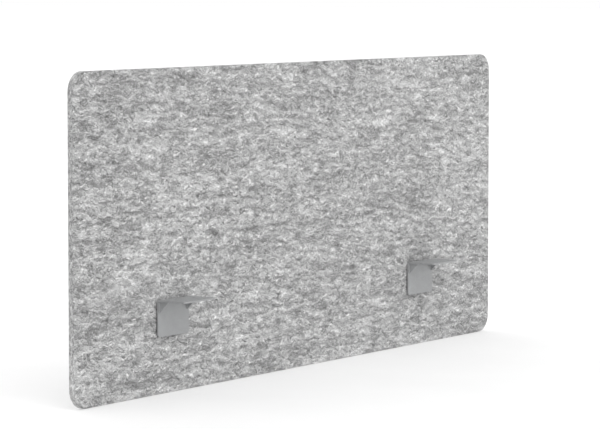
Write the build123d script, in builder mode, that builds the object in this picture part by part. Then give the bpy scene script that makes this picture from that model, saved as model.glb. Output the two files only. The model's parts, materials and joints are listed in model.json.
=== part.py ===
from build123d import *
import os

# Desk privacy panel: one stiff felt board that stands in the gap between two rows of desktops,
# gripped below the tops by two identical screw clamps fixed to the desktops' undersides.
# Millimetres. X runs along the panel, Y across the gap, Z up from the board's bottom edge.
# The board and both clamps are built about X = 0, and the clamps are then set at their stations.

# Board
WIDTH = 1524.0
HEIGHT = 610.0
THICK = 12.0
CORNER = 38.0

# Desk that it fits
DESK_SURFACE = 203.0
DESKTOP = 25.0
DESK_UNDERSIDE = DESK_SURFACE - DESKTOP

# Clamp stations along the board
STATION = 457.0

# Angle brackets
STEEL = 3.0
BRACKET_WIDE = 100.0
BRACKET_DEEP = 70.0
REACH = 74.0
BEND_OUTSIDE = 5.0
BEND_INSIDE = 2.0
PLATE_CORNER = 6.0
HOLE_ROW = 48.5
HOLE_SPACING_X = 60.0
HOLE_SPACING_Y = 25.0
SCREW_HOLE_R = 2.75
GUSSET = 22.0
GUSSET_X = 45.5

# Jaws
GRIP_GAP = 0.2
PAD = 2.0
PAD_WIDE = 84.0
PAD_DEEP = 56.0
PAD_CORNER = 4.0
PLATE_WIDE = 90.0
PLATE_DEEP = 60.0
BOARD_FACE = THICK / 2
PAD_FRONT = BOARD_FACE + GRIP_GAP
PAD_BACK = PAD_FRONT + PAD
PLATE_BACK = PAD_BACK + STEEL
SCREW_LEG = 24.0
SCREW_LEG_BACK = SCREW_LEG + STEEL
LEG_FOOT = DESK_UNDERSIDE - BRACKET_DEEP
AXIS_Z = DESK_UNDERSIDE - BRACKET_DEEP / 2

# Clamp screw, M8 with a pitch of 1.25
THREAD_R = 4.0
THREAD_FIT = 0.05
LEG_HOLE_R = 4.5
NUT_ACROSS = 13.0
NUT_LONG = 6.5
NECK_R = 2.8
TIP_R = 4.4
TIP_FIT = 0.1
TIP_LONG = 3.0
SOCKET_R = 8.0
SOCKET_LIP = 2.0
SOCKET_CHAMFER = 1.0
SOCKET_END = PLATE_BACK + 7.0
TIP_START = SOCKET_END - SOCKET_LIP - TIP_FIT - TIP_LONG
NECK_END = SOCKET_END + 0.8

# Guide pins and their bushes
PIN_X = 32.0
PIN_R = 3.0
PIN_END = 37.0
PIN_HEAD_R = 4.5
PIN_HEAD = 1.2
BUSH_R = 4.5
BUSH_FLANGE_R = 6.5
BUSH_FLANGE = 1.5
BUSH_FIT = 0.05
CLIP_AT = 32.5
CLIP = 1.0
CLIP_R = 5.0
CLIP_MOUTH = 3.7
GROOVE_R = 2.3
PIN_PLACES = ((-PIN_X, 0), (PIN_X, 0))

# Knob
KNOB_FACE = 44.0
KNOB_END = 62.0
KNOB_HUB = 6.0
KNOB_R = 21.0
HUB_R = 9.0
LOBES = 6
FLUTE_R = 6.5
FLUTE_AT = 24.5
LOBE_EDGE = 3.0
KNOB_EDGE = 2.0
SCREW_IN_KNOB = 14.0
CAP_R = 11.0
CAP_SEAT = 2.0
CAP_DOME = 1.5

os.makedirs("parts", exist_ok=True)


# The screw runs along Y. On its plane, x is the distance from its axis and y is the place along it.
SCREW_AXIS = Axis((0, 0, AXIS_Z), (0, 1, 0))
SCREW_PLANE = Plane(origin=(0, 0, AXIS_Z), x_dir=(1, 0, 0), z_dir=(0, 0, 1))


def turned(*outline):
    """Revolves a half outline of (radius, place along the screw) points about the screw axis."""
    with BuildSketch(SCREW_PLANE) as half:
        with BuildLine():
            Polyline(*outline, close=True)
        make_face()
    revolve(half.sketch, axis=SCREW_AXIS)


def facing(y):
    """A plane across the screw axis at this Y, facing away from the board on the screw side."""
    return Plane(origin=(0, y, AXIS_Z), x_dir=(-1, 0, 0), z_dir=(0, 1, 0))


def angle_plate(side, inner):
    """An angle bracket: a leg hanging beside the board and a flange under the desktop."""
    with BuildSketch(Plane.YZ) as section:
        with BuildLine():
            Polyline(
                (side * inner, LEG_FOOT),
                (side * inner, DESK_UNDERSIDE),
                (side * REACH, DESK_UNDERSIDE),
                (side * REACH, DESK_UNDERSIDE - STEEL),
                (side * (inner + STEEL), DESK_UNDERSIDE - STEEL),
                (side * (inner + STEEL), LEG_FOOT),
                close=True,
            )
        make_face()
        corners = section.vertices()
        outside = corners.sort_by_distance((side * inner, DESK_UNDERSIDE))[0]
        inside = corners.sort_by_distance((side * (inner + STEEL), DESK_UNDERSIDE - STEEL))[0]
        fillet(outside, BEND_OUTSIDE)
        fillet(inside, BEND_INSIDE)
    extrude(section.sketch, amount=BRACKET_WIDE / 2, both=True)


def round_plate_corners(part, side):
    """Rounds the free corners of the leg and of the flange."""
    across = part.edges().filter_by(Axis.Y).group_by(Axis.Z)[0]
    upright = part.edges().filter_by(Axis.Z).sort_by(Axis.Y, reverse=side > 0)[:2]
    fillet(across + upright, PLATE_CORNER)


def gussets(side, inner):
    """Two corner gussets welded inside the bend."""
    root = side * (inner + STEEL)
    under = DESK_UNDERSIDE - STEEL
    for x in (-GUSSET_X, GUSSET_X):
        with BuildSketch(Plane.YZ.offset(x)) as rib:
            with BuildLine():
                Polyline((root, under), (root + side * GUSSET, under), (root, under - GUSSET), close=True)
            make_face()
        extrude(rib.sketch, amount=STEEL / 2, both=True)


def flange_holes(side):
    """Four holes for wood screws into the desktop."""
    with Locations((0, side * HOLE_ROW, DESK_UNDERSIDE)):
        with GridLocations(HOLE_SPACING_X, HOLE_SPACING_Y, 2, 2):
            Hole(SCREW_HOLE_R, STEEL * 2)


# The board
with BuildPart() as felt_panel:
    with BuildSketch(Plane.XZ):
        with Locations((0, HEIGHT / 2)):
            RectangleRounded(WIDTH, HEIGHT, CORNER)
    extrude(amount=THICK / 2, both=True)

# Fixed jaw, on the near side
with BuildPart() as fixed_bracket:
    angle_plate(-1, PAD_BACK)
    round_plate_corners(fixed_bracket, -1)
    gussets(-1, PAD_BACK)
    flange_holes(-1)

with BuildPart() as fixed_jaw_pad:
    with BuildSketch(facing(-PAD_BACK)):
        RectangleRounded(PAD_WIDE, PAD_DEEP, PAD_CORNER)
    extrude(amount=PAD)

# Screw side
with BuildPart() as screw_bracket:
    angle_plate(1, SCREW_LEG)
    round_plate_corners(screw_bracket, 1)
    gussets(1, SCREW_LEG)
    flange_holes(1)
    with BuildSketch(facing(SCREW_LEG)):
        Circle(LEG_HOLE_R)
        with Locations(*PIN_PLACES):
            Circle(BUSH_R)
    extrude(amount=STEEL, mode=Mode.SUBTRACT)

with BuildPart() as clamp_nut:
    with BuildSketch(facing(SCREW_LEG_BACK)):
        RegularPolygon(NUT_ACROSS / 2, 6, major_radius=False)
        Circle(THREAD_R + THREAD_FIT, mode=Mode.SUBTRACT)
    extrude(amount=NUT_LONG)

with BuildPart() as guide_bushes:
    with BuildSketch(facing(SCREW_LEG)):
        with Locations(*PIN_PLACES):
            Circle(BUSH_R)
            Circle(PIN_R + BUSH_FIT, mode=Mode.SUBTRACT)
    extrude(amount=STEEL)
    with BuildSketch(facing(SCREW_LEG_BACK)):
        with Locations(*PIN_PLACES):
            Circle(BUSH_FLANGE_R)
            Circle(PIN_R + BUSH_FIT, mode=Mode.SUBTRACT)
    extrude(amount=BUSH_FLANGE)

# Moving jaw
with BuildPart() as pressure_plate:
    with BuildSketch(facing(PAD_BACK)):
        RectangleRounded(PLATE_WIDE, PLATE_DEEP, PLATE_CORNER)
        with Locations(*PIN_PLACES):
            Circle(PIN_R, mode=Mode.SUBTRACT)
    extrude(amount=STEEL)

with BuildPart() as pressure_pad:
    with BuildSketch(facing(PAD_FRONT)):
        RectangleRounded(PAD_WIDE, PAD_DEEP, PAD_CORNER)
    extrude(amount=PAD)

with BuildPart() as guide_pins:
    with BuildSketch(facing(PAD_BACK)):
        with Locations(*PIN_PLACES):
            Circle(PIN_R)
    extrude(amount=PIN_END - PAD_BACK)
    with BuildSketch(facing(PLATE_BACK)):
        with Locations(*PIN_PLACES):
            Circle(PIN_HEAD_R)
    extrude(amount=PIN_HEAD)
    with BuildSketch(facing(CLIP_AT)):
        with Locations(*PIN_PLACES):
            Circle(PIN_HEAD_R)
            Circle(GROOVE_R, mode=Mode.SUBTRACT)
    extrude(amount=CLIP, mode=Mode.SUBTRACT)

with BuildPart() as pin_clips:
    with BuildSketch(facing(CLIP_AT)):
        with Locations(*PIN_PLACES):
            Circle(CLIP_R)
            Circle(GROOVE_R, mode=Mode.SUBTRACT)
        with Locations((-PIN_X, -CLIP_R), (PIN_X, -CLIP_R)):
            Rectangle(CLIP_MOUTH, CLIP_R * 2, mode=Mode.SUBTRACT)
    extrude(amount=CLIP)

# Swivel socket, crimped around the tip of the screw
with BuildPart() as screw_socket:
    turned(
        (0, PLATE_BACK),
        (SOCKET_R, PLATE_BACK),
        (SOCKET_R, SOCKET_END - SOCKET_CHAMFER),
        (SOCKET_R - SOCKET_CHAMFER, SOCKET_END),
        (NECK_R + TIP_FIT, SOCKET_END),
        (NECK_R + TIP_FIT, SOCKET_END - SOCKET_LIP),
        (TIP_R + TIP_FIT, SOCKET_END - SOCKET_LIP),
        (TIP_R + TIP_FIT, TIP_START - TIP_FIT),
        (0, TIP_START - TIP_FIT),
    )

# Screw: a swivel tip, a neck, then the thread, whose last stretch is held in the knob
with BuildPart() as clamp_screw:
    turned(
        (0, TIP_START),
        (TIP_R, TIP_START),
        (TIP_R, TIP_START + TIP_LONG),
        (NECK_R, TIP_START + TIP_LONG),
        (NECK_R, NECK_END),
        (THREAD_R, NECK_END + THREAD_R - NECK_R),
        (THREAD_R, KNOB_FACE + SCREW_IN_KNOB),
        (0, KNOB_FACE + SCREW_IN_KNOB),
    )

with BuildPart() as clamp_knob:
    with BuildSketch(facing(KNOB_FACE)):
        Circle(HUB_R)
    extrude(amount=KNOB_HUB)
    with BuildSketch(facing(KNOB_FACE + KNOB_HUB)) as star:
        Circle(KNOB_R)
        with PolarLocations(FLUTE_AT, LOBES):
            Circle(FLUTE_R, mode=Mode.SUBTRACT)
        fillet(star.vertices(), LOBE_EDGE)
    extrude(amount=KNOB_END - KNOB_FACE - KNOB_HUB)
    with BuildSketch(facing(KNOB_FACE)):
        Circle(THREAD_R)
    extrude(amount=SCREW_IN_KNOB, mode=Mode.SUBTRACT)
    with BuildSketch(facing(KNOB_END - CAP_SEAT)):
        Circle(CAP_R)
    extrude(amount=CAP_SEAT, mode=Mode.SUBTRACT)
    front = clamp_knob.faces().sort_by(Axis.Y)[-1]
    fillet(front.outer_wire().edges(), KNOB_EDGE)

with BuildPart() as knob_cap:
    turned(
        (0, KNOB_END - CAP_SEAT),
        (CAP_R, KNOB_END - CAP_SEAT),
        (CAP_R, KNOB_END),
        (0, KNOB_END + CAP_DOME),
    )

clamp_pieces = {
    "fixed_bracket": fixed_bracket,
    "fixed_jaw_pad": fixed_jaw_pad,
    "screw_bracket": screw_bracket,
    "clamp_nut": clamp_nut,
    "guide_bushes": guide_bushes,
    "pressure_plate": pressure_plate,
    "pressure_pad": pressure_pad,
    "guide_pins": guide_pins,
    "pin_clips": pin_clips,
    "screw_socket": screw_socket,
    "clamp_screw": clamp_screw,
    "clamp_knob": clamp_knob,
    "knob_cap": knob_cap,
}

felt_panel.part.label = "felt_panel"
export_step(felt_panel.part, "parts/felt_panel.step")

for side, x in (("left", -STATION), ("right", STATION)):
    for name, piece in clamp_pieces.items():
        placed = Pos(x, 0, 0) * piece.part
        placed.label = f"{name}_{side}"
        export_step(placed, f"parts/{name}_{side}.step")
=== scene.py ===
import json
import math
import bmesh
import bpy
import numpy as np
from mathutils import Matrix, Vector, noise


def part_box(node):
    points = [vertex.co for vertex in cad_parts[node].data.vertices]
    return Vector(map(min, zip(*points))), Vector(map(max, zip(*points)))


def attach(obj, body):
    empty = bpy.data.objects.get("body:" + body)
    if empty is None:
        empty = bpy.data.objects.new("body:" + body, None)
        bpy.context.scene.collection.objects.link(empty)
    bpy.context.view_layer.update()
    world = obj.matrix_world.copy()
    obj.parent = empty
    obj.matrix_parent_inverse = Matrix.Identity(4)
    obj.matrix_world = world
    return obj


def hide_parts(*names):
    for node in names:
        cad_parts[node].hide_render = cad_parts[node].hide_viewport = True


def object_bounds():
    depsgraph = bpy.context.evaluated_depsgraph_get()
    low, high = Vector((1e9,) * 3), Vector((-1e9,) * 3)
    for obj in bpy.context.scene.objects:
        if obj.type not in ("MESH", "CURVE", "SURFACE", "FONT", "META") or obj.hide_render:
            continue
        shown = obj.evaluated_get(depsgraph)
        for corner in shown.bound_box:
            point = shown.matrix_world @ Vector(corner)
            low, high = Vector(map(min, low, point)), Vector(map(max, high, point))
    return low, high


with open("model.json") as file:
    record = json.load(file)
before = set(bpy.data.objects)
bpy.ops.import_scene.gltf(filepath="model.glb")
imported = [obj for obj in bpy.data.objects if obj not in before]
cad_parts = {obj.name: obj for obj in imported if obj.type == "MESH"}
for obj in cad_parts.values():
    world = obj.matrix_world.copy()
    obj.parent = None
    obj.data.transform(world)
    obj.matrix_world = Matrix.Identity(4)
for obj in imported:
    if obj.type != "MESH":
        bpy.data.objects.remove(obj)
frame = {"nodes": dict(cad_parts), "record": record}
cad_low, cad_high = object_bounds()

# ---------------------------------------------------------------- sizes, in metres

SIDES = ("left", "right")

# Felt board
BOARD_CORNER = 0.038
BOARD_ARRIS = 0.0012
BOARD_GRID = 0.0055
CUT_GRID = 0.0016
CORNER_STEPS = 8
FACE_WAVE = 0.0002
CUT_WAVE = 0.00016

# Rubber pads, ribbed where they grip the felt
PAD_CORNER = 0.004
PAD_ARRIS = 0.0004
PAD_GRID = (0.004, 0.0005)
PAD_BORDER = 0.003
RIB_PITCH = 0.004
RIB_DEEP = 0.0007
RIB_RUN_OUT = 0.001

# Turned pieces: points round them, the small flat left on their axis, and the edge that is broken
ROUND = 64
POLE_R = 0.0001
TURNED_EDGE = 0.0003

# Brackets
STEEL = 0.003
GUSSET = 0.022
GUSSET_X = 0.0455
WELD_R = 0.0013
WELD_RIPPLE = 0.0016
WELD_SWELL = 0.10
NUT_WELD = 0.006

# Edges rounded on the pieces that keep their CAD shape
BRACKET_EDGE = 0.0005
PLATE_EDGE = 0.0004
CLIP_EDGE = 0.00012

# Clamp screw, its nut and its swivel socket
PITCH = 0.00125
THREAD_R = 0.004
THREAD_DEEP = 0.0007
THREAD_ROUND = 40
THREAD_RINGS = 8
NECK_R = 0.0028
NECK_SHOWS = 0.0008
TIP_R = 0.0044
TIP_LONG = 0.003
NUT_BORE = 0.00405
NUT_ROUND = 96

# Guide pins and bushes
PIN_X = 0.032
PIN_R = 0.003
PIN_HEAD_R = 0.0045
PIN_HEAD = 0.0012
GROOVE_R = 0.0023
BUSH_BORE = 0.00305
BUSH_R = 0.0045
BUSH_FLANGE = 0.0015

# Knob
KNOB_R = 0.021
LOBES = 6
FLUTE_R = 0.0065
FLUTE_AT = 0.0245
LOBE_EDGE = 0.003
HUB_R = 0.009
HUB_LONG = 0.006
KNOB_FRONT_EDGE = 0.002
KNOB_BACK_EDGE = 0.0008
CAP_RIM = 0.002

# Studio
FLOOR_REACH = 60.0
FLOOR_DROP = 0.0005
EYE = (-5.176, -3.317, 0.779)
LENS_MM = 185.0


def sizes_of(node):
    """A CAD node's lowest and highest corners and its middle."""
    low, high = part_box(node)
    return low, high, (low + high) / 2


# ---------------------------------------------------------------- node helpers


class Paint:
    """A procedural material, with short ways to add nodes and to join them. Grain sizes are in metres."""

    def __init__(self, name):
        self.material = bpy.data.materials.new(name)
        self.material.use_nodes = True
        self.tree = self.material.node_tree
        self.shader = self.tree.nodes["Principled BSDF"]
        self.place = self.add("ShaderNodeTexCoord").outputs["Object"]

    def add(self, kind, **settings):
        made = self.tree.nodes.new(kind)
        for key, value in settings.items():
            setattr(made, key, value)
        return made

    def join(self, source, target):
        self.tree.links.new(source, target)

    def set(self, **values):
        """Sets constants on the shader itself."""
        for name, value in values.items():
            self.shader.inputs[name.replace("_", " ")].default_value = value

    def math(self, operation, a, b):
        made = self.add("ShaderNodeMath", operation=operation)
        for socket, value in zip(made.inputs, (a, b)):
            if isinstance(value, (int, float)):
                socket.default_value = value
            else:
                self.join(value, socket)
        return made.outputs[0]

    def weighed(self, *layers):
        """Layers added up, each a (source, share) pair."""
        total = None
        for source, share in layers:
            part = self.math("MULTIPLY", source, share)
            total = part if total is None else self.math("ADD", total, part)
        return total

    def noise(self, size, detail=2.0, rough=0.5, turn=0.0, source=None, output="Fac"):
        """Noise with grains of one size, or of a size along X, Y and Z, that slant by a turn about Y."""
        grain = self.add("ShaderNodeMapping", vector_type="TEXTURE")
        grain.inputs["Rotation"].default_value = (0, turn, 0)
        grain.inputs["Scale"].default_value = size if isinstance(size, tuple) else (size, size, size)
        self.join(source or self.place, grain.inputs["Vector"])
        made = self.add("ShaderNodeTexNoise")
        made.inputs["Scale"].default_value = 1.0
        made.inputs["Detail"].default_value = detail
        made.inputs["Roughness"].default_value = rough
        self.join(grain.outputs[0], made.inputs["Vector"])
        return made.outputs[output]

    def warped(self, size, amount):
        """The place, pushed about by noise of this grain size, so that straight streaks curve."""
        centred = self.add("ShaderNodeVectorMath", operation="SUBTRACT")
        self.join(self.noise(size, output="Color"), centred.inputs[0])
        centred.inputs[1].default_value = (0.5, 0.5, 0.5)
        push = self.add("ShaderNodeVectorMath", operation="SCALE")
        self.join(centred.outputs[0], push.inputs[0])
        push.inputs["Scale"].default_value = amount
        moved = self.add("ShaderNodeVectorMath", operation="ADD")
        self.join(self.place, moved.inputs[0])
        self.join(push.outputs[0], moved.inputs[1])
        return moved.outputs[0]

    def spread(self, source, low, high, interpolation="LINEAR"):
        """A value from low to high, spread over 0 to 1."""
        made = self.add("ShaderNodeMapRange", interpolation_type=interpolation)
        made.inputs["From Min"].default_value = low
        made.inputs["From Max"].default_value = high
        self.join(source, made.inputs["Value"])
        return made

    def fibres(self, source, long, deep, wide, turn, detail=1.0, rough=0.5):
        """Fibres lying at one slant: 1 on a fibre and 0 between."""
        field = self.noise((long, deep, wide), detail, rough, turn, source)
        return self.spread(field, 0.55, 0.68, "SMOOTHSTEP").outputs[0]

    def colour(self, source, *stops):
        """Base colour, from a value by (place, grey or colour) stops."""
        made = self.add("ShaderNodeValToRGB")
        steps = made.color_ramp.elements
        while len(steps) < len(stops):
            steps.new(0.5)
        for step, (at, colour) in zip(steps, stops):
            step.position = at
            step.color = (*colour, 1) if isinstance(colour, tuple) else (colour, colour, colour, 1)
        self.join(source, made.inputs["Fac"])
        self.join(made.outputs["Color"], self.shader.inputs["Base Color"])

    def rough(self, source, low, high):
        made = self.spread(source, 0.0, 1.0)
        made.inputs["To Min"].default_value = low
        made.inputs["To Max"].default_value = high
        self.join(made.outputs[0], self.shader.inputs["Roughness"])

    def bump(self, source, depth, strength):
        made = self.add("ShaderNodeBump")
        made.inputs["Distance"].default_value = depth
        made.inputs["Strength"].default_value = strength
        self.join(source, made.inputs["Height"])
        self.join(made.outputs[0], self.shader.inputs["Normal"])


# ---------------------------------------------------------------- materials


def felt():
    """Pressed felt in thin layers: white, grey and charcoal fibres, tangled but mostly lengthwise."""
    p = Paint("felt")
    bent = p.warped(0.033, 0.017)
    curly = p.warped(0.009, 0.0055)
    patches = p.noise((0.26, 0.03, 0.10), detail=1.0)
    clouds = p.noise((0.14, 0.015, 0.026), detail=1.0)
    clumps = p.noise((0.044, 0.0045, 0.0088), 5.0, 0.66, turn=0.06, source=bent)
    tufts = [p.noise((0.015, 0.0013, 0.0026), 3.0, 0.7, turn, curly) for turn in (0.42, -0.3)]
    pale_wisps = [p.fibres(bent, 0.044, 0.0015, 0.0046, turn, 4.0, 0.7) for turn in (0.16, -0.3)]
    dark_wisps = [p.fibres(bent, 0.042, 0.0015, 0.0046, turn, 4.0, 0.7) for turn in (-0.1, 0.42)]
    pale = [p.fibres(curly, 0.012, 0.0004, 0.0005, turn) for turn in (0.15, 0.95, -0.7)]
    dark = [p.fibres(curly, 0.012, 0.0004, 0.0005, turn) for turn in (-0.2, 0.55, -1.2)]
    layers = [(patches, 0.08), (clouds, 0.15), (clumps, 0.62)]
    layers += [(tuft, 0.15) for tuft in tufts]
    layers += [(wisp, 0.155) for wisp in pale_wisps]
    layers += [(wisp, -0.155) for wisp in dark_wisps]
    layers += [(fibre, 0.085) for fibre in pale]
    layers += [(fibre, -0.085) for fibre in dark]
    p.colour(p.weighed(*layers), (0.34, 0.055), (0.52, 0.215), (0.58, 0.35), (0.64, 0.50), (0.82, 0.88))
    p.bump(p.weighed((tufts[0], 0.2), (pale[0], 0.5), (pale[2], 0.5), (dark[1], 0.5)), 0.0003, 0.6)
    p.set(Roughness=0.95, Sheen_Weight=0.25, Sheen_Roughness=0.6, Specular_IOR_Level=0.15)
    return p.material


def powder_coat():
    """Silver-grey powder coat, slightly clouded, with a fine orange peel and metallic flecks."""
    p = Paint("powder_coat")
    cloud = p.noise(0.016, detail=5.0)
    peel = p.noise(0.0013)
    fleck = p.noise(0.00028, detail=1.0)
    tone = p.weighed((fleck, 0.86), (cloud, 0.14))
    p.colour(tone, (0.34, (0.28, 0.285, 0.29)), (0.54, (0.36, 0.365, 0.37)), (0.72, (0.52, 0.525, 0.53)))
    p.rough(p.weighed((peel, 0.8), (cloud, 0.2)), 0.36, 0.62)
    p.bump(p.weighed((peel, 1.0), (fleck, 0.3)), 0.00016, 0.8)
    p.set(Metallic=0.4, Specular_IOR_Level=0.5)
    return p.material


def zinc():
    """Bright zinc plate, a little cloudy, with fine turning lines across Y."""
    p = Paint("zinc")
    cloud = p.noise(0.0045, detail=4.0)
    lines = p.noise((0.0033, 0.00011, 0.0033))
    p.colour(cloud, (0.3, (0.50, 0.51, 0.53)), (0.7, (0.68, 0.69, 0.70)))
    p.rough(p.weighed((cloud, 0.6), (lines, 0.4)), 0.18, 0.46)
    p.bump(lines, 0.00002, 0.5)
    p.set(Metallic=1.0)
    return p.material


def rubber():
    """Matt black rubber with a dusty bloom."""
    p = Paint("rubber")
    bloom = p.noise(0.006, detail=4.0)
    p.colour(bloom, (0.35, (0.018, 0.018, 0.019)), (0.75, (0.040, 0.040, 0.041)))
    p.rough(bloom, 0.7, 0.9)
    p.bump(p.noise(0.00033), 0.00006, 0.7)
    p.set(Specular_IOR_Level=0.3)
    return p.material


def nylon():
    """Natural nylon, slightly uneven where it flowed."""
    p = Paint("nylon")
    flow = p.noise(0.007, detail=3.0)
    p.colour(flow, (0.3, (0.66, 0.63, 0.55)), (0.7, (0.74, 0.72, 0.65)))
    p.rough(flow, 0.35, 0.5)
    p.bump(p.noise(0.0004), 0.00003, 0.5)
    return p.material


def black_moulding(name, grain_size, depth):
    """Black glass-filled moulding with a spark-eroded grain."""
    p = Paint(name)
    grain = p.noise(grain_size)
    p.colour(p.noise(0.011, detail=4.0), (0.3, (0.017, 0.017, 0.019)), (0.75, (0.034, 0.034, 0.036)))
    p.rough(grain, 0.38, 0.6)
    p.bump(grain, depth, 0.7)
    return p.material


def floor_paint():
    """Pale studio floor, with a little light from below that softens the shadows on it."""
    p = Paint("studio_floor")
    p.colour(p.noise(0.33, detail=3.0), (0.3, 0.63), (0.7, 0.66))
    p.rough(p.noise(0.025), 0.75, 0.85)
    p.set(Emission_Color=(1, 1, 1, 1), Emission_Strength=0.28)
    return p.material


MATERIALS = {
    "felt": felt(),
    "powder_coated_steel": powder_coat(),
    "zinc_plated_steel": zinc(),
    "rubber": rubber(),
    "nylon": nylon(),
    "knob_plastic": black_moulding("knob_plastic", 0.00067, 0.0001),
}
CAP_PLASTIC = black_moulding("cap_plastic", 0.00025, 0.00002)
SLOT_OF = {part["node"]: part["material_slot"] for part in frame["record"]["subparts"]}
BODY_OF = {node: body for body, nodes in frame["record"]["behaviour"]["bodies"].items() for node in nodes}


# ---------------------------------------------------------------- mesh helpers


def link(name, mesh):
    piece = bpy.data.objects.new(name, mesh)
    bpy.context.scene.collection.objects.link(piece)
    return piece


def finish_piece(piece, node, material=None, break_at=35):
    """Shades a piece smoothly up to an angle in degrees, and lets it stand for a CAD node on its body."""
    bm = bmesh.new()
    bm.from_mesh(piece.data)
    bmesh.ops.remove_doubles(bm, verts=bm.verts, dist=1e-7)
    bmesh.ops.recalc_face_normals(bm, faces=bm.faces)
    for face in bm.faces:
        face.smooth = True
    for edge in bm.edges:
        edge.smooth = edge.calc_face_angle(0.0) < math.radians(break_at)
    bm.to_mesh(piece.data)
    bm.free()
    piece.data.materials.clear()
    piece.data.materials.append(material or MATERIALS[SLOT_OF[node]])
    even = piece.modifiers.new("even_normals", "WEIGHTED_NORMAL")
    even.keep_sharp = True
    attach(piece, BODY_OF[node])
    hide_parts(node)


class Mesh:
    """Points and faces of a piece as it is put together from stacks of rings."""

    def __init__(self):
        self.points = []
        self.faces = []

    def ring(self, points):
        """Adds points and returns their numbers."""
        start = len(self.points)
        self.points += [tuple(p) for p in points]
        return list(range(start, len(self.points)))

    def stack(self, rings, closed=False):
        """Skins rings of equally many points: closed at both ends, or joined last to first."""
        pairs = list(zip(rings, rings[1:])) + ([(rings[-1], rings[0])] if closed else [])
        for one, two in pairs:
            for i in range(len(one)):
                j = (i + 1) % len(one)
                self.faces.append((one[i], one[j], two[j], two[i]))
        if not closed:
            self.faces += [tuple(rings[0][::-1]), tuple(rings[-1])]

    def piece(self, name, node, material=None, break_at=35):
        mesh = bpy.data.meshes.new(name)
        mesh.from_pydata(self.points, [], self.faces)
        finish_piece(link(name, mesh), node, material, break_at)


def softened(node, name, width, segments=3):
    """A CAD node's own shape with its sharp edges rounded over."""
    mesh = frame["nodes"][node].data.copy()
    bm = bmesh.new()
    bm.from_mesh(mesh)
    bmesh.ops.remove_doubles(bm, verts=bm.verts, dist=1e-6)
    bmesh.ops.dissolve_limit(bm, angle_limit=math.radians(0.4), verts=bm.verts, edges=bm.edges)
    sharp = [edge for edge in bm.edges if edge.calc_face_angle(0.0) > math.radians(32)]
    bmesh.ops.bevel(
        bm, geom=sharp, offset=width, segments=segments, profile=0.5, affect="EDGES", clamp_overlap=True
    )
    bm.to_mesh(mesh)
    bm.free()
    finish_piece(link(name, mesh), node)


def around(centre, y, radius, turn):
    """The point at a radius about a line along Y, turned right-handed about +Y from +Z."""
    return centre.x + radius * math.sin(turn), y, centre.z + radius * math.cos(turn)


def turns(count):
    return [2 * math.pi * i / count for i in range(count)]


def lathe(name, node, centres, outline, bored=False, material=None):
    """One turned solid about each centre, from (radius, y) points; a bored one closes on itself."""
    mesh = Mesh()
    for centre in centres:
        rings = [[around(centre, y, max(radius, POLE_R), t) for t in turns(ROUND)] for radius, y in outline]
        mesh.stack([mesh.ring(ring) for ring in rings], closed=bored)
    mesh.piece(name, node, material)


def arc(centre, radius, start, end, steps):
    """Points of an arc in the (radius, y) plane, between two angles in degrees."""
    angles = [math.radians(start + (end - start) * i / steps) for i in range(steps + 1)]
    return [(centre[0] + radius * math.cos(a), centre[1] + radius * math.sin(a)) for a in angles]


# ---------------------------------------------------------------- plates: felt board and rubber pads


def stations(long, corner, step):
    """Places along one side of a plate, closer together in its corners."""
    in_corner = np.linspace(0, corner, CORNER_STEPS + 1)
    middle = np.linspace(corner, long - corner, max(2, round((long - 2 * corner) / step)) + 1)
    return np.concatenate([in_corner[:-1], middle, long - in_corner[-2::-1]])


def rounded(x, z, wide, high, corner):
    """Draws a point of a rectangle's corner square into its rounded corner."""
    cx = min(max(x, corner), wide - corner)
    cz = min(max(z, corner), high - corner)
    u, v = (x - cx) / corner, (z - cz) / corner
    return cx + corner * u * math.sqrt(1 - v * v / 2), cz + corner * v * math.sqrt(1 - u * u / 2)


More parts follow.
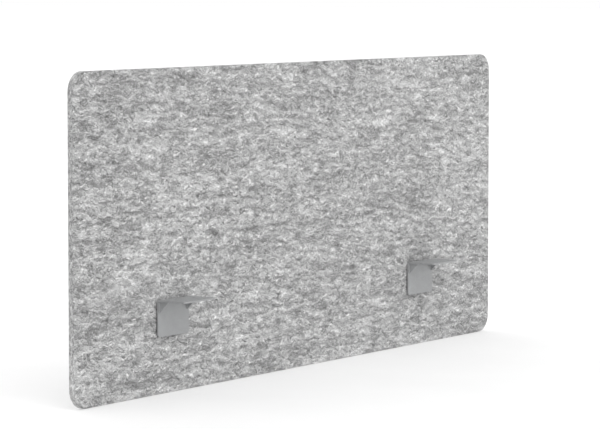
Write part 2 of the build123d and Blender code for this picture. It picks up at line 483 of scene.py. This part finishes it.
def plate(name, node, corner, arris, steps, dip, ragged):
    """A standing plate that fills its CAD node's box, with rounded corners and arrises.

    steps are the sizes of its grid along X and Z. dip(x, z, side) sinks its two faces, where side
    is -1 or 1, and ragged(x, y, z) its cut edge.
    """
    low, high, _ = sizes_of(node)
    wide, tall = high.x - low.x - 2 * arris, high.z - low.z - 2 * arris
    xs = stations(wide, corner - arris, steps[0])
    zs = stations(tall, corner - arris, steps[1])
    nx, nz = len(xs), len(zs)
    flat = np.array([rounded(x, z, wide, tall, corner - arris) for z in zs for x in xs])
    flat += (low.x + arris, low.z + arris)

    mesh = Mesh()
    near = mesh.ring((x, low.y + dip(x, z, -1), z) for x, z in flat)
    far = mesh.ring((x, high.y - dip(x, z, 1), z) for x, z in flat)
    for k in range(nz - 1):
        for i in range(nx - 1):
            cell = (k * nx + i, k * nx + i + 1, (k + 1) * nx + i + 1, (k + 1) * nx + i)
            mesh.faces.append(tuple(near[c] for c in cell))
            mesh.faces.append(tuple(far[c] for c in cell[::-1]))

    rim = [*range(nx), *range(2 * nx - 1, nz * nx, nx)]
    rim += [*range(nz * nx - 2, (nz - 1) * nx - 1, -1), *range((nz - 2) * nx, 0, -nx)]
    outline = flat[rim]
    along = np.roll(outline, -1, axis=0) - np.roll(outline, 1, axis=0)
    outward = np.stack([along[:, 1], -along[:, 0]], axis=1)
    outward /= np.linalg.norm(outward, axis=1)[:, None]

    # Loops of the cut edge, from the near face to the far one: an arris, the cut, an arris
    turned = [math.radians(30 * k) for k in (1, 2, 3)]
    profile = [(low.y + arris * (1 - math.cos(t)), arris * math.sin(t)) for t in turned]
    cuts = max(1, round((high.y - low.y - 2 * arris) / CUT_GRID))
    profile += [(y, arris) for y in np.linspace(low.y + arris, high.y - arris, cuts + 2)[1:-1]]
    profile += [(high.y - arris * (1 - math.cos(t)), arris * math.sin(t)) for t in turned[::-1]]
    loops = [[near[i] for i in rim]]
    for y, out in profile:
        reach = [out - ragged(x, y, z) * out / arris for x, z in outline]
        moved = outline + outward * np.array(reach)[:, None]
        loops.append(mesh.ring((x, y, z) for x, z in moved))
    loops.append([far[i] for i in rim])
    for one, two in zip(loops, loops[1:]):
        for i in range(len(rim)):
            j = (i + 1) % len(rim)
            mesh.faces.append((one[i], two[i], two[j], one[j]))
    mesh.piece(name, node)


def felt_dip(x, z, side):
    """The faces of the felt swell and sink by a fraction of a millimetre."""
    slow = noise.noise(Vector((x * 9, side * 4, z * 9)))
    fine = noise.noise(Vector((x * 55, side * 9, z * 55)))
    return FACE_WAVE * (1 - 0.7 * slow - 0.3 * fine)


def felt_cut(x, y, z):
    """The knife leaves the cut edge slightly uneven."""
    return CUT_WAVE * (0.6 - noise.noise(Vector((x * 210, y * 700, z * 210))))


def ribbed_pad(name, node, grip_side):
    """A rubber pad whose gripping face has ribs inside a plain border."""
    low, high, middle = sizes_of(node)

    def dip(x, z, side):
        inside = min(x - low.x, high.x - x, z - low.z, high.z - z) - PAD_BORDER
        if side != grip_side or inside < 0:
            return 0.0
        groove = 0.5 + 0.5 * math.cos(2 * math.pi * (z - middle.z) / RIB_PITCH)
        return RIB_DEEP * groove**3 * min(1, inside / RIB_RUN_OUT)

    plate(name, node, PAD_CORNER, PAD_ARRIS, PAD_GRID, dip, lambda x, y, z: 0.0)


# ---------------------------------------------------------------- welds


def weld_beads(name, node, lines):
    """Rippled weld beads along straight lines, each a start and an end point, in one piece."""
    mesh = Mesh()
    for start, end in lines:
        start, end = Vector(start), Vector(end)
        long = (end - start).length
        along = (end - start).normalized()
        up = along.orthogonal().normalized()
        across = along.cross(up)
        rings = []
        for s in np.linspace(0, long, round(long / WELD_RIPPLE * 6) + 1):
            to_end = min(s, long - s, WELD_R) / WELD_R
            swell = 1 + WELD_SWELL * math.cos(2 * math.pi * s / WELD_RIPPLE)
            radius = max(WELD_R * swell * math.sqrt(1 - (1 - to_end) ** 2), POLE_R)
            middle = start + along * s
            spokes = [up * math.cos(t) + across * math.sin(t) for t in turns(12)]
            rings.append(mesh.ring(middle + spoke * radius for spoke in spokes))
        mesh.stack(rings)
    mesh.piece(name, node, break_at=60)


def gusset_welds(kind, side):
    """Both gussets are welded to the leg and to the flange, on both of their faces."""
    node = f"{kind}_bracket_{side}"
    low, high, middle = sizes_of(node)
    away = -1 if kind == "fixed" else 1
    root = (high.y if kind == "fixed" else low.y) + away * STEEL
    under = high.z - STEEL
    lines = []
    for gusset in (-GUSSET_X, GUSSET_X):
        for face in (-STEEL / 2, STEEL / 2):
            x = middle.x + gusset + face
            lines.append(((x, root, under), (x, root, under - GUSSET + WELD_R)))
            lines.append(((x, root, under), (x, root + away * (GUSSET - WELD_R), under)))
    weld_beads(f"gusset_welds_{kind}_{side}", node, lines)


def nut_welds(side):
    """Three short beads hold the nut's flats to the leg."""
    node = f"clamp_nut_{side}"
    low, high, middle = sizes_of(node)
    flat = (high.z - low.z) / 2
    lines = []
    for turn in turns(3):
        at = Vector(around(middle, low.y, flat, turn))
        half = Vector((math.cos(turn), 0, -math.sin(turn))) * NUT_WELD / 2
        lines.append((at - half, at + half))
    weld_beads(f"nut_welds_{side}", node, lines)


# ---------------------------------------------------------------- clamp pieces


def hex_nut(side):
    """Nut with the corners of its outer end turned off and its bore countersunk."""
    node = f"clamp_nut_{side}"
    low, high, middle = sizes_of(node)
    flat = (high.z - low.z) / 2
    corner = flat / math.cos(math.pi / 6)
    turned_off = corner - 0.95 * flat

    def hexagon(limit, y):
        """A ring of the hexagon, cut to a circle of this radius where it is wider."""
        from_flat = [(t + math.pi / 6) % (math.pi / 3) - math.pi / 6 for t in turns(NUT_ROUND)]
        reach = [min(flat / math.cos(a), limit) for a in from_flat]
        return [around(middle, y, r, t) for r, t in zip(reach, turns(NUT_ROUND))]

    def circle(radius, y):
        return [around(middle, y, radius, t) for t in turns(NUT_ROUND)]

    mesh = Mesh()
    rings = [circle(NUT_BORE + 0.0004, low.y), hexagon(corner, low.y)]
    for k in range(7):
        cut = turned_off * k / 6
        rings.append(hexagon(corner - cut, high.y - (turned_off - cut) * math.tan(math.radians(30))))
    rings += [circle(NUT_BORE + 0.0005, high.y), circle(NUT_BORE, high.y - 0.0005)]
    rings.append(circle(NUT_BORE, low.y + 0.0004))
    mesh.stack([mesh.ring(ring) for ring in rings], closed=True)
    mesh.piece(f"weld_nut_{side}", node, break_at=28)


def threaded_screw(side):
    """The clamp screw: swivel tip, neck and right-hand thread."""
    node = f"clamp_screw_{side}"
    low, high, middle = sizes_of(node)
    tip_end = low.y + TIP_LONG
    neck_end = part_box(f"screw_socket_{side}")[1].y + NECK_SHOWS
    thread_start = neck_end + THREAD_R - NECK_R
    outline = [(POLE_R, low.y), (TIP_R - 0.0005, low.y), (TIP_R, low.y + 0.0005)]
    outline += [(TIP_R, tip_end - TURNED_EDGE), (TIP_R - TURNED_EDGE, tip_end)]
    outline += [(NECK_R, tip_end), (NECK_R, neck_end)]
    mesh = Mesh()
    rings = [mesh.ring(around(middle, y, radius, t) for t in turns(THREAD_ROUND)) for radius, y in outline]
    for y in np.linspace(thread_start, high.y, int((high.y - thread_start) / PITCH * THREAD_RINGS) + 1):
        not_yet = max(0.0, 1 - (y - thread_start) / PITCH)
        points = []
        for t in turns(THREAD_ROUND):
            phase = (y / PITCH - t / (2 * math.pi)) % 1.0
            groove = min(1.0, max(0.0, 2.05 - 2.6 * abs(2 * phase - 1)))
            points.append(around(middle, y, THREAD_R - THREAD_DEEP * max(groove, not_yet), t))
        rings.append(mesh.ring(points))
    mesh.stack(rings)
    mesh.piece(f"threaded_screw_{side}", node, break_at=45)


def swivel_socket(side):
    """The crimped socket that holds the screw's tip."""
    node = f"screw_socket_{side}"
    low, high, middle = sizes_of(node)
    outer = (high.x - low.x) / 2
    mouth = high.y
    outline = [(POLE_R, low.y), (outer - TURNED_EDGE, low.y), (outer, low.y + TURNED_EDGE)]
    outline += [(outer, mouth - 0.0030), (outer - 0.0004, mouth - 0.0026), (outer - 0.0004, mouth - 0.0022)]
    outline += arc((outer - 0.0022, mouth - 0.0019), 0.0019, 0, 90, 8)
    outline += [(NECK_R + 0.0006, mouth), (NECK_R + 0.0001, mouth - 0.0004)]
    outline += [(NECK_R + 0.0001, mouth - 0.002), (TIP_R + 0.0001, mouth - 0.002)]
    outline += [(TIP_R + 0.0001, mouth - 0.0052), (POLE_R, mouth - 0.0052)]
    lathe(f"swivel_socket_{side}", node, [middle], outline)


def pin_centres(side):
    """The two lines along Y on which the guide pins slide."""
    middle = sizes_of(f"clamp_screw_{side}")[2]
    return [middle + Vector((x, 0, 0)) for x in (-PIN_X, PIN_X)]


def guide_pins(side):
    """Pins with a domed rivet head on the plate, a groove for the clip and a chamfered end."""
    node = f"guide_pins_{side}"
    low, high, _ = sizes_of(node)
    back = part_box(f"pressure_plate_{side}")[1].y
    clip_low, clip_high = (corner.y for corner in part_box(f"pin_clips_{side}"))
    rim = back + TURNED_EDGE
    outline = [(POLE_R, low.y), (PIN_R, low.y), (PIN_R, back), (PIN_HEAD_R, back), (PIN_HEAD_R, rim)]
    for t in (math.radians(15 * k) for k in range(1, 7)):
        out, up = (PIN_HEAD_R - PIN_R) * math.cos(t), (PIN_HEAD - TURNED_EDGE) * math.sin(t)
        outline.append((PIN_R + out, rim + up))
    outline += [(PIN_R, clip_low), (GROOVE_R, clip_low), (GROOVE_R, clip_high), (PIN_R, clip_high)]
    outline += [(PIN_R, high.y - 0.0006), (PIN_R - 0.0006, high.y), (POLE_R, high.y)]
    lathe(f"rivet_pins_{side}", node, pin_centres(side), outline)


def guide_bushes(side):
    """Flanged nylon bushes."""
    node = f"guide_bushes_{side}"
    low, high, _ = sizes_of(node)
    flange_r = (high.z - low.z) / 2
    flange = high.y - BUSH_FLANGE
    outline = [(BUSH_BORE + TURNED_EDGE, low.y), (BUSH_R - TURNED_EDGE, low.y)]
    outline += [(BUSH_R, low.y + TURNED_EDGE), (BUSH_R, flange)]
    outline += [(flange_r - 0.0001, flange), (flange_r, flange + 0.0002)]
    outline += arc((flange_r - 0.0005, high.y - 0.0005), 0.0005, 0, 90, 4)
    outline += [(BUSH_BORE + TURNED_EDGE, high.y), (BUSH_BORE, high.y - TURNED_EDGE)]
    outline.append((BUSH_BORE, low.y + TURNED_EDGE))
    lathe(f"flanged_bushes_{side}", node, pin_centres(side), outline, bored=True)


def star_outline(inset):
    """Knob outline as (radius, turn) points: rounded lobes with flutes between, set in by a length."""
    far, edge, flute = KNOB_R - inset, LOBE_EDGE - inset, FLUTE_R + inset
    reach, gap = KNOB_R - LOBE_EDGE, FLUTE_R + LOBE_EDGE
    slant = math.acos((reach**2 + FLUTE_AT**2 - gap**2) / (2 * reach * FLUTE_AT))
    edge_at = Vector((reach * math.cos(slant), reach * math.sin(slant)))
    meet = math.atan2(edge_at.y, FLUTE_AT - edge_at.x)
    half = []
    for k in range(9):
        t = meet * k / 8
        half.append(Vector((FLUTE_AT - flute * math.cos(t), flute * math.sin(t))))
    for k in range(1, 9):
        t = -meet + (slant + meet) * k / 8
        half.append(edge_at + Vector((edge * math.cos(t), edge * math.sin(t))))
    for k in range(1, 5):
        t = slant + (math.pi / LOBES - slant) * k / 4
        half.append(Vector((far * math.cos(t), far * math.sin(t))))
    points = [(p.length, math.atan2(p.y, p.x)) for p in half]
    points += [(r, 2 * math.pi / LOBES - t) for r, t in points[-2:0:-1]]
    return [(r, t + turn) for turn in turns(LOBES) for r, t in points]


def star_knob(side):
    """Six-lobed knob: hub, fluted body with rounded edges, and a seat for the cap."""
    node = f"clamp_knob_{side}"
    low, high, middle = sizes_of(node)
    star = star_outline(0.0)
    cap_low, cap_high, _ = sizes_of(f"knob_cap_{side}")
    cap_r = (cap_high.x - cap_low.x) / 2
    back = low.y + HUB_LONG
    bore_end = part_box(f"clamp_screw_{side}")[1].y
    mesh = Mesh()
    rings = []

    def circle(radius, y):
        rings.append(mesh.ring(around(middle, y, max(radius, POLE_R), t + math.pi / 2) for _, t in star))

    def lobed(inset, y):
        rings.append(mesh.ring(around(middle, y, r, t + math.pi / 2) for r, t in star_outline(inset)))

    circle(0, bore_end)
    circle(THREAD_R, bore_end)
    circle(THREAD_R, low.y + 0.0004)
    circle(THREAD_R + 0.0004, low.y)
    circle(HUB_R - 0.0008, low.y)
    for radius, y in arc((HUB_R - 0.0008, low.y + 0.0008), 0.0008, -60, 0, 3):
        circle(radius, y)
    for radius, y in arc((HUB_R + 0.0012, back - 0.0012), 0.0012, 180, 90, 5):
        circle(radius, y)
    lobed(KNOB_BACK_EDGE, back)
    for out, y in arc((-KNOB_BACK_EDGE, back + KNOB_BACK_EDGE), KNOB_BACK_EDGE, -60, 0, 3):
        lobed(-out, y)
    for out, y in arc((-KNOB_FRONT_EDGE, high.y - KNOB_FRONT_EDGE), KNOB_FRONT_EDGE, 0, 90, 8):
        lobed(-out, y)
    circle(cap_r + 0.0014, high.y - 0.0003)
    circle(cap_r + 0.0007, high.y - 0.0006)
    circle(cap_r + 0.0001, high.y - 0.0007)
    circle(cap_r + 0.0001, cap_low.y)
    circle(0, cap_low.y)
    mesh.stack(rings)
    mesh.piece(f"star_knob_{side}", node, break_at=32)


def cap(side):
    """Snap-in cap with a low dome and a shallow ring."""
    node = f"knob_cap_{side}"
    low, high, middle = sizes_of(node)
    radius = (high.x - low.x) / 2
    rim = low.y + CAP_RIM
    outline = [(POLE_R, low.y), (radius - 0.0002, low.y), (radius - 0.0001, low.y + 0.0002)]
    outline += [(radius - 0.0001, rim - 0.0004), (radius - 0.0005, rim)]
    for share in np.linspace(0.93, 0.0, 24):
        dome = (math.sqrt(1 - 0.96 * share * share) - 0.28) / 0.72
        groove = 0.0003 * math.exp(-(((share - 0.62) / 0.05) ** 2))
        outline.append((max(radius * share, POLE_R), rim + (high.y - rim) * dome - groove))
    lathe(f"domed_cap_{side}", node, [middle], outline, material=CAP_PLASTIC)


# ---------------------------------------------------------------- the object

plate("felt_board", "felt_panel", BOARD_CORNER, BOARD_ARRIS, (BOARD_GRID, BOARD_GRID), felt_dip, felt_cut)

for side in SIDES:
    softened(f"fixed_bracket_{side}", f"fixed_angle_{side}", BRACKET_EDGE)
    softened(f"screw_bracket_{side}", f"screw_angle_{side}", BRACKET_EDGE)
    gusset_welds("fixed", side)
    gusset_welds("screw", side)
    ribbed_pad(f"fixed_rubber_{side}", f"fixed_jaw_pad_{side}", 1)
    ribbed_pad(f"moving_rubber_{side}", f"pressure_pad_{side}", -1)
    softened(f"pressure_plate_{side}", f"moving_plate_{side}", PLATE_EDGE)
    softened(f"pin_clips_{side}", f"clips_{side}", CLIP_EDGE, segments=2)
    guide_pins(side)
    guide_bushes(side)
    hex_nut(side)
    nut_welds(side)
    threaded_screw(side)
    swivel_socket(side)
    star_knob(side)
    cap(side)


# ---------------------------------------------------------------- floor, light and camera


def studio():
    """A floor that reaches out of sight, and even white light from all round."""
    mesh = bpy.data.meshes.new("floor")
    corners = [(FLOOR_REACH * x, FLOOR_REACH * y, 0) for x, y in ((-1, -1), (1, -1), (1, 1), (-1, 1))]
    mesh.from_pydata(corners, [], [(0, 1, 2, 3)])
    mesh.materials.append(floor_paint())
    floor = link("floor", mesh)
    floor.location.z = -FLOOR_DROP

    world = bpy.data.worlds.new("studio")
    world.use_nodes = True
    background = world.node_tree.nodes["Background"]
    background.inputs["Color"].default_value = (1, 1, 1, 1)
    background.inputs["Strength"].default_value = 1.0
    bpy.context.scene.world = world
    bpy.context.scene.view_settings.view_transform = "Standard"


def soft_sun(name, towards, spread, strength):
    """A wide, far light that shines along a direction and lights the whole floor alike."""
    data = bpy.data.lights.new(name, "SUN")
    data.angle = math.radians(spread)
    data.energy = strength
    lamp = link(name, data)
    lamp.rotation_euler = Vector(towards).to_track_quat("-Z", "Y").to_euler()


def camera():
    """The photograph's viewing angle: from the left, a little above the board, from about six metres."""
    data = bpy.data.cameras.new("camera")
    data.sensor_width = 36.0
    data.lens = LENS_MM
    data.clip_end = 200.0
    eye = link("camera", data)
    eye.location = EYE
    target = Vector((cad_low + cad_high) / 2)
    eye.rotation_euler = (target - eye.location).to_track_quat("-Z", "Y").to_euler()
    bpy.context.scene.camera = eye


studio()
soft_sun("key", (0.35, 0.55, -0.75), 35, 0.7)
soft_sun("fill", (-0.5, -0.6, -0.6), 50, 0.35)
camera()
